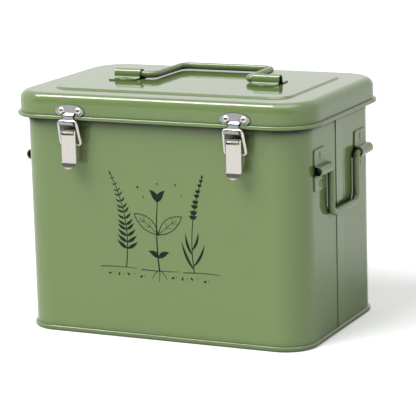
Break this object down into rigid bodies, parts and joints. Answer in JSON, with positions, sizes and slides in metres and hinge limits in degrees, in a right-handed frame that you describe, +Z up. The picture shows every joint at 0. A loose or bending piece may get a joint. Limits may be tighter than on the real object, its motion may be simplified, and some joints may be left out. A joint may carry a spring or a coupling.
{
  "type": "garden seed organizer box",
  "caption": "Hinged steel tin with a slip-over lid, toggle latches, folding wire carry handle, side drop handles, a partition and month index cards for seed packets.",
  "frame": {"origin": "centre of the flat pad under the base, at floor level", "axes": "+X to the box's right (viewed from the front), +Y to the back where the hinges are, +Z up; the latches face -Y"},
  "size_m": [0.215, 0.1513, 0.1674],
  "materials": {
    "green_paint": "glossy sage-green powder coat",
    "nickel_plate": "bright nickel plating",
    "zinc_plate": "satin nickel-plated keeper and latch plates",
    "card_stock": "uncoated buff card"
  },
  "bodies": {
    "tin": {"body_shell": "green_paint", "base_pan": "green_paint", "partition": "green_paint", "month_cards_left": "card_stock", "month_cards_right": "card_stock", "side_clip_right_front": "green_paint", "side_clip_right_rear": "green_paint", "side_clip_left_front": "green_paint", "side_clip_left_rear": "green_paint", "side_clip_rivets": "green_paint", "latch_plate_left": "zinc_plate", "latch_plate_right": "zinc_plate", "latch_plate_rivets": "zinc_plate", "hinge_body_leaf_left": "green_paint", "hinge_body_leaf_right": "green_paint", "hinge_body_rivets": "green_paint"},
    "lid": {"lid_shell": "green_paint", "lid_clip_left": "green_paint", "lid_clip_right": "green_paint", "lid_clip_rivets": "green_paint", "keeper_left": "zinc_plate", "keeper_right": "zinc_plate", "keeper_rivets": "zinc_plate", "hinge_lid_leaf_left": "green_paint", "hinge_lid_leaf_right": "green_paint", "hinge_lid_rivets": "green_paint", "hinge_pin_left": "green_paint", "hinge_pin_right": "green_paint"},
    "lid_handle": {"lid_handle_wire": "green_paint"},
    "lever_left": {"latch_lever_left": "nickel_plate", "latch_pin_left": "nickel_plate"},
    "lever_right": {"latch_lever_right": "nickel_plate", "latch_pin_right": "nickel_plate"},
    "bail_left": {"latch_bail_left": "nickel_plate"},
    "bail_right": {"latch_bail_right": "nickel_plate"},
    "handle_left": {"side_handle_left": "green_paint"},
    "handle_right": {"side_handle_right": "green_paint"}
  },
  "joints": [
    {"name": "lid_hinge", "type": "hinge", "parent": "tin", "child": "lid", "pos_m": [0, 0.07125, 0.14], "axis": [-1, 0, 0], "range_deg": [0, 110]},
    {"name": "lid_handle_swing", "type": "hinge", "parent": "lid", "child": "lid_handle", "pos_m": [0, 0, 0.1639], "axis": [1, 0, 0], "range_deg": [0, 180]},
    {"name": "side_handle_left_swing", "type": "hinge", "parent": "tin", "child": "handle_left", "pos_m": [-0.1031, 0, 0.114], "axis": [0, 1, 0], "range_deg": [0, 150]},
    {"name": "side_handle_right_swing", "type": "hinge", "parent": "tin", "child": "handle_right", "pos_m": [0.1031, 0, 0.114], "axis": [0, -1, 0], "range_deg": [0, 150]},
    {"name": "latch_lever_left_swing", "type": "hinge", "parent": "tin", "child": "lever_left", "pos_m": [-0.0584, -0.073, 0.1366], "axis": [-1, 0, 0], "range_deg": [0, 100]},
    {"name": "latch_bail_left_swing", "type": "hinge", "parent": "lever_left", "child": "bail_left", "pos_m": [-0.0584, -0.0704, 0.1278], "axis": [-1, 0, 0], "range_deg": [-56, 1]},
    {"name": "latch_lever_right_swing", "type": "hinge", "parent": "tin", "child": "lever_right", "pos_m": [0.0584, -0.073, 0.1366], "axis": [-1, 0, 0], "range_deg": [0, 100]},
    {"name": "latch_bail_right_swing", "type": "hinge", "parent": "lever_right", "child": "bail_right", "pos_m": [0.0584, -0.0704, 0.1278], "axis": [-1, 0, 0], "range_deg": [-56, 1]}
  ],
  "couplings": [
    {"joint": "latch_bail_left_swing", "follows": "latch_lever_left_swing", "ratio": -0.55},
    {"joint": "latch_bail_right_swing", "follows": "latch_lever_right_swing", "ratio": -0.55}
  ]
}
